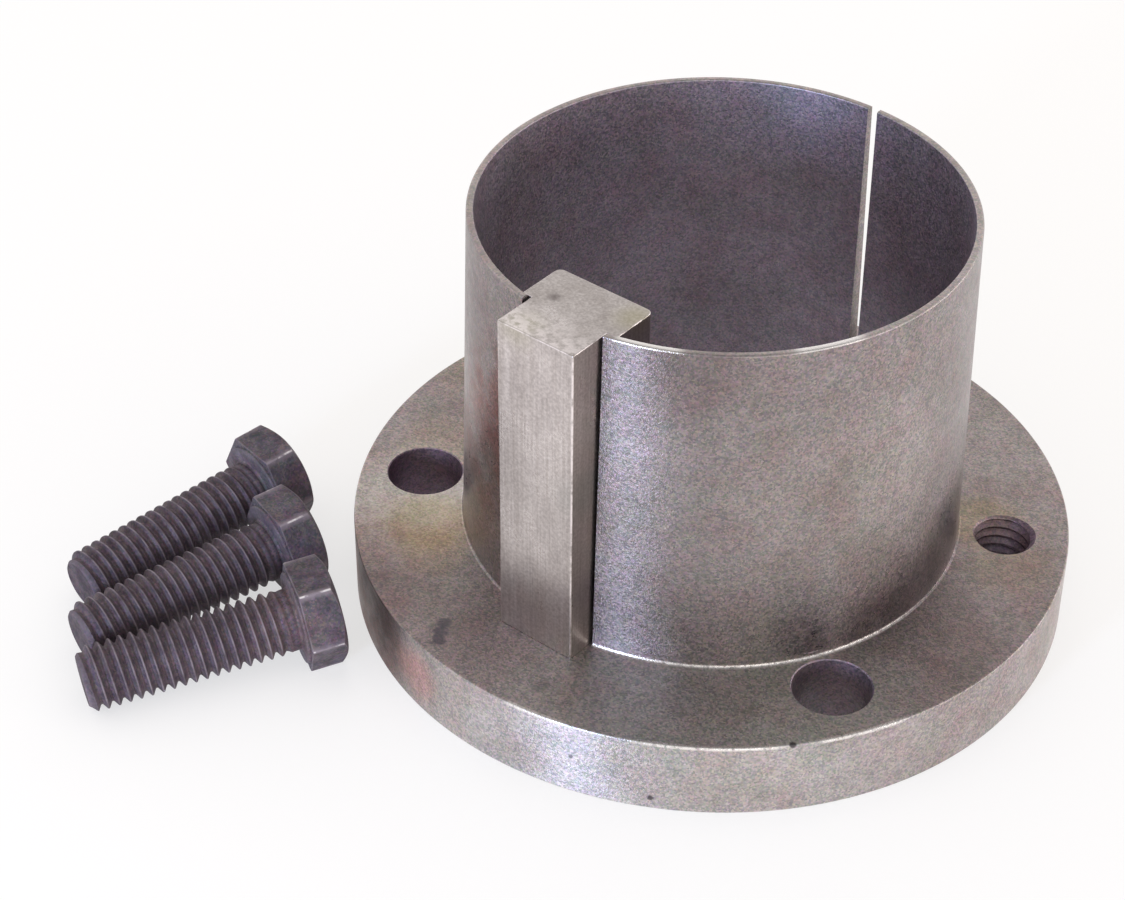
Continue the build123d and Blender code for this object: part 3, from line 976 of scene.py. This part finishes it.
def white_where_seen(tree, others, white):
    """The shader that lights the object, and white where the camera or a reflection looks."""
    rays = add(tree, "LightPath")
    seen = either(tree, *(rays.outputs[f"Is {kind} Ray"] for kind in ("Camera", "Glossy", "Transmission")))
    return add(tree, "MixShader", {0: seen, 1: others, 2: white}).outputs[0]


class BUSHING_OT_set_stage(bpy.types.Operator):
    """Set up the floor, the soft studio light and the camera"""
    bl_idname = "bushing.set_stage"
    bl_label = "Set stage"
    bl_options = {"REGISTER", "UNDO"}

    def execute(self, context):
        stage = context.scene.bushing_stage
        self.lay_floor(stage, context.scene.bushing_sizes)
        self.light_world(context.scene)
        soft_light("window_front", stage.window_light, -88, 9, 0.8, 0.08, 0.22, 4.2)
        soft_light("room_right", stage.room_light, 35, 6, 1.0, 1.4, 0.16, 3.4)
        soft_light("room_front", stage.room_light, -35, 7, 1.0, 0.5, 0.16, 0.6)
        self.aim_camera(context.scene, stage)
        context.scene.view_settings.view_transform = "Standard"
        return {"FINISHED"}

    def lay_floor(self, stage, sizes):
        half = stage.floor_size / 2
        corners = [(-half, -half, 0), (half, -half, 0), (half, half, 0), (-half, half, 0)]
        mesh = bpy.data.meshes.new("floor")
        mesh.from_pydata(corners, [], [(0, 1, 2, 3)])
        floor = place("floor", mesh)
        material, tree, place_on, surface = new_material("matt_white_paper")
        paper = add(tree, "BsdfDiffuse", {"Color": rgba(stage.floor_white)}).outputs[0]
        glow = add(tree, "Emission", {"Strength": 1.0}).outputs[0]
        from_axis = add(tree, "VectorMath", {0: place_on}, operation="LENGTH").outputs["Value"]
        outside = fade(tree, from_axis, sizes.flange_radius - 1 * MM, sizes.flange_radius)
        in_bore = fade(tree, from_axis, sizes.bore_radius, sizes.bore_radius - 1 * MM)
        uncovered = either(tree, outside, both(tree, in_bore, 0.55), 0.3)
        lifted = add(tree, "MixShader", {0: both(tree, uncovered, 0.62), 1: paper, 2: glow}).outputs[0]
        tree.links.new(white_where_seen(tree, paper, lifted), surface)
        mesh.materials.append(material)

    def light_world(self, scene):
        world = bpy.data.worlds.new("studio")
        world.use_nodes = True
        scene.world = world
        tree = world.node_tree
        tree.nodes.clear()
        height = add(tree, "SeparateXYZ",
                     {0: add(tree, "TexCoord").outputs["Generated"]}).outputs["Z"]
        upper = add(tree, "MapRange", {"Value": height, "From Min": 0.5, "From Max": 1.0,
                                       "To Min": 1.0, "To Max": 0.25}).outputs["Result"]
        lit = add(tree, "Background", {"Color": rgba("fffaf6"), "Strength": 1.0})
        seen = add(tree, "Background", {"Color": rgba((1, 1, 1)), "Strength": upper})
        output = add(tree, "OutputWorld")
        tree.links.new(white_where_seen(tree, lit.outputs[0], seen.outputs[0]),
                       output.inputs["Surface"])

    def aim_camera(self, scene, stage):
        camera = bpy.data.cameras.new("camera")
        camera.lens = stage.lens
        camera.sensor_width = 36
        camera.clip_start, camera.clip_end = 0.01, 20
        holder = bpy.data.objects.new("camera", camera)
        scene.collection.objects.link(holder)
        back = direction(stage.azimuth - math.pi / 2, stage.elevation)
        turn = back.to_track_quat("Z", "Y").to_matrix() @ Matrix.Rotation(stage.roll, 3, "Z")
        holder.matrix_world = Matrix.Translation(Vector(stage.target) + back * stage.distance) \
            @ turn.to_4x4()
        scene.camera = holder


# ---------------- panel and registration
class BUSHING_PT_sidebar(bpy.types.Panel):
    """Lists the bushing's pieces in the sidebar"""
    bl_idname = "BUSHING_PT_sidebar"
    bl_label = "Taper bushing"
    bl_space_type = "VIEW_3D"
    bl_region_type = "UI"
    bl_category = "Bushing"

    def draw(self, context):
        for operator in OPERATORS:
            self.layout.operator(operator.bl_idname)
        for name in SETTINGS:
            group = getattr(context.scene, name)
            box = self.layout.box()
            for setting in group.__annotations__:
                box.prop(group, setting)


SETTINGS = {
    "bushing_sizes": BushingSettings, "key_sizes": KeySettings, "screw_sizes": ScrewSettings,
    "bushing_finish": FinishSettings, "bushing_stage": StageSettings,
}
OPERATORS = (BUSHING_OT_turn_body, BUSHING_OT_fit_key, BUSHING_OT_lay_cap_screws, BUSHING_OT_set_stage)


def register():
    for cls in (*SETTINGS.values(), *OPERATORS, BUSHING_PT_sidebar):
        bpy.utils.register_class(cls)
    for name, group in SETTINGS.items():
        setattr(bpy.types.Scene, name, PointerProperty(type=group))


def unregister():
    for name in SETTINGS:
        delattr(bpy.types.Scene, name)
    for cls in reversed((*SETTINGS.values(), *OPERATORS, BUSHING_PT_sidebar)):
        bpy.utils.unregister_class(cls)


def main():
    """Makes every piece and the stage."""
    register()
    bpy.ops.bushing.turn_body()
    bpy.ops.bushing.fit_key()
    bpy.ops.bushing.lay_cap_screws()
    bpy.ops.bushing.set_stage()


if __name__ == "__main__":
    main()
